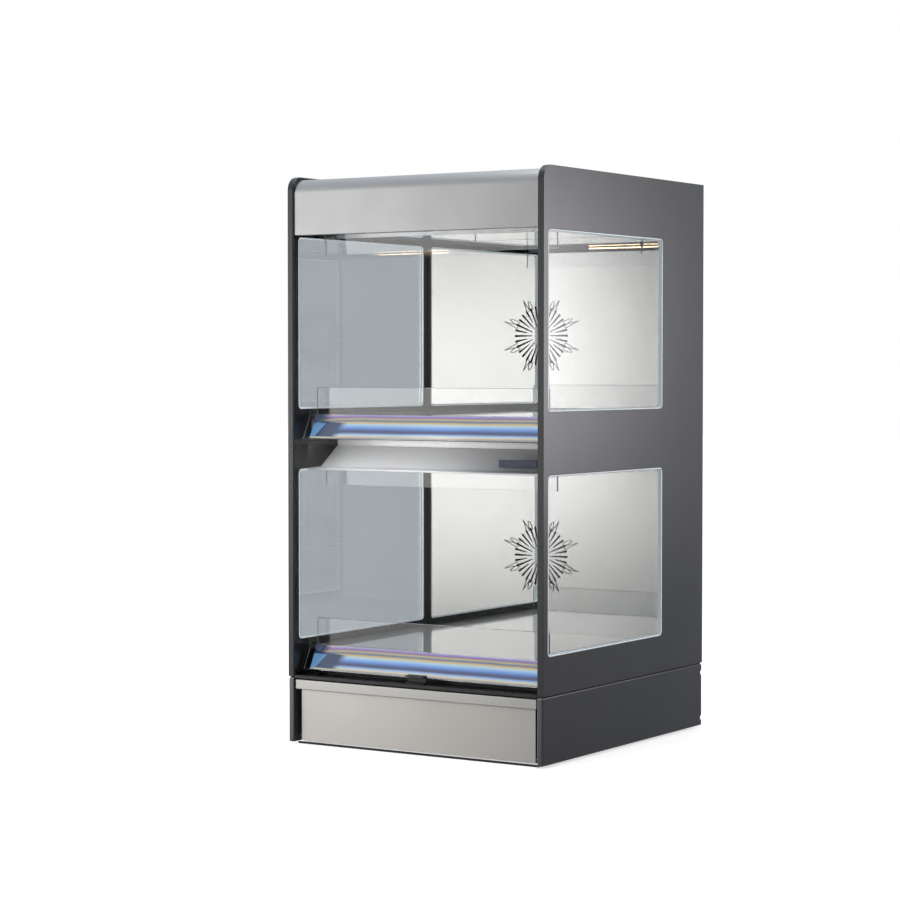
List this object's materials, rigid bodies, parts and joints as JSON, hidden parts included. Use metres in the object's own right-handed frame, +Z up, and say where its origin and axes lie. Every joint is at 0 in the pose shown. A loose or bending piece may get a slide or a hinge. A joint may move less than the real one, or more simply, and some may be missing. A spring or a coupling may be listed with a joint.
{
  "type": "hot food display case",
  "caption": "Open-fronted tiered countertop hot air display case with insulating glass windows, mirror back walls, clear guards and a hinged base flap.",
  "frame": {"origin": "bottom centre of the case, at the height of the stand under its feet", "axes": "+Z up, the open front faces -Y, +X is the right-hand side seen from the front"},
  "size_m": [0.6, 0.66, 1.146],
  "materials": {
    "coated_panel": "satin anthracite powder coat",
    "black_trim": "satin black",
    "brushed_steel": "fine horizontal brushing",
    "mirror_steel": "mirror-polished stainless steel",
    "galvanised": "galvanised sheet",
    "window_glass": "clear with a grey tint",
    "clear_acrylic": "clear",
    "lamp_cover": "diffusing",
    "fan_metal": "pressed",
    "heater_metal": "heat-darkened",
    "dark_plastic": "fine texture",
    "button_plastic": "smooth",
    "blank_plate": "satin, blank"
  },
  "bodies": {
    "case": {"side_panel_left": "coated_panel", "side_panel_right": "coated_panel", "base_side_left": "coated_panel", "base_side_right": "coated_panel", "glazing_left_lower": "window_glass", "glazing_left_upper": "window_glass", "glazing_right_lower": "window_glass", "glazing_right_upper": "window_glass", "top_cap": "brushed_steel", "ceiling_panel": "mirror_steel", "lower_deck": "mirror_steel", "upper_deck": "mirror_steel", "lower_floor_box": "black_trim", "mid_housing": "brushed_steel", "mid_visor": "brushed_steel", "badge_plate": "blank_plate", "guard_lower": "clear_acrylic", "guard_upper": "clear_acrylic", "ticket_strip_lower": "clear_acrylic", "ticket_strip_upper": "clear_acrylic", "deflector_lower": "clear_acrylic", "deflector_upper": "clear_acrylic", "led_strip_lower": "lamp_cover", "led_strip_upper": "lamp_cover", "probe_upper": "galvanised", "back_wall_lower": "mirror_steel", "back_wall_upper": "mirror_steel", "duct_divider": "galvanised", "duct_plate_lower": "galvanised", "duct_plate_upper": "galvanised", "heater_lower": "heater_metal", "heater_upper": "heater_metal", "fan_motor_lower": "galvanised", "fan_motor_upper": "galvanised", "rear_cover_lower": "coated_panel", "rear_cover_upper": "coated_panel", "base_tray": "galvanised", "base_rear_panel": "coated_panel", "front_sill": "black_trim", "hinge_rod": "galvanised", "control_panel": "black_trim", "controller_lower": "dark_plastic", "controller_upper": "dark_plastic", "switch_body": "dark_plastic", "terminal_box": "dark_plastic", "cable_gland": "dark_plastic"},
    "flap": {"flap_panel": "brushed_steel", "flap_lip": "brushed_steel"},
    "latch": {"latch": "dark_plastic"},
    "fan_upper": {"fan_upper": "fan_metal"},
    "fan_lower": {"fan_lower": "fan_metal"},
    "switch_rocker": {"switch_rocker": "button_plastic"},
    "button_upper_up": {"button_upper_up": "button_plastic"},
    "button_upper_down": {"button_upper_down": "button_plastic"},
    "button_lower_up": {"button_lower_up": "button_plastic"},
    "button_lower_down": {"button_lower_down": "button_plastic"},
    "foot_front_left": {"foot_front_left": "dark_plastic"},
    "foot_front_right": {"foot_front_right": "dark_plastic"},
    "foot_rear_left": {"foot_rear_left": "dark_plastic"},
    "foot_rear_right": {"foot_rear_right": "dark_plastic"}
  },
  "joints": [
    {"name": "flap_hinge", "type": "hinge", "parent": "case", "child": "flap", "pos_m": [0, -0.311, 0.0145], "axis": [1, 0, 0], "range_deg": [0, 80]},
    {"name": "latch_slide", "type": "slide", "parent": "case", "child": "latch", "axis": [0, 0, 1], "range_m": [0, 0.005], "stiffness_N_per_m": 60},
    {"name": "fan_upper_spin", "type": "hinge", "parent": "case", "child": "fan_upper", "pos_m": [0, 0.21, 0.829], "axis": [0, 1, 0], "continuous": true},
    {"name": "fan_lower_spin", "type": "hinge", "parent": "case", "child": "fan_lower", "pos_m": [0, 0.21, 0.362], "axis": [0, 1, 0], "continuous": true},
    {"name": "switch_rock", "type": "hinge", "parent": "case", "child": "switch_rocker", "pos_m": [0, -0.2927, 0.072], "axis": [1, 0, 0], "range_deg": [0, 16]},
    {"name": "button_upper_up_press", "type": "slide", "parent": "case", "child": "button_upper_up", "axis": [0, 1, 0], "range_m": [0, 0.001], "stiffness_N_per_m": 800},
    {"name": "button_upper_down_press", "type": "slide", "parent": "case", "child": "button_upper_down", "axis": [0, 1, 0], "range_m": [0, 0.001], "stiffness_N_per_m": 800},
    {"name": "button_lower_up_press", "type": "slide", "parent": "case", "child": "button_lower_up", "axis": [0, 1, 0], "range_m": [0, 0.001], "stiffness_N_per_m": 800},
    {"name": "button_lower_down_press", "type": "slide", "parent": "case", "child": "button_lower_down", "axis": [0, 1, 0], "range_m": [0, 0.001], "stiffness_N_per_m": 800},
    {"name": "foot_front_left_turn", "type": "hinge", "parent": "case", "child": "foot_front_left", "pos_m": [-0.245, -0.26, 0], "axis": [0, 0, 1], "continuous": true},
    {"name": "foot_front_right_turn", "type": "hinge", "parent": "case", "child": "foot_front_right", "pos_m": [0.245, -0.26, 0], "axis": [0, 0, 1], "continuous": true},
    {"name": "foot_rear_left_turn", "type": "hinge", "parent": "case", "child": "foot_rear_left", "pos_m": [-0.245, 0.27, 0], "axis": [0, 0, 1], "continuous": true},
    {"name": "foot_rear_right_turn", "type": "hinge", "parent": "case", "child": "foot_rear_right", "pos_m": [0.245, 0.27, 0], "axis": [0, 0, 1], "continuous": true}
  ]
}
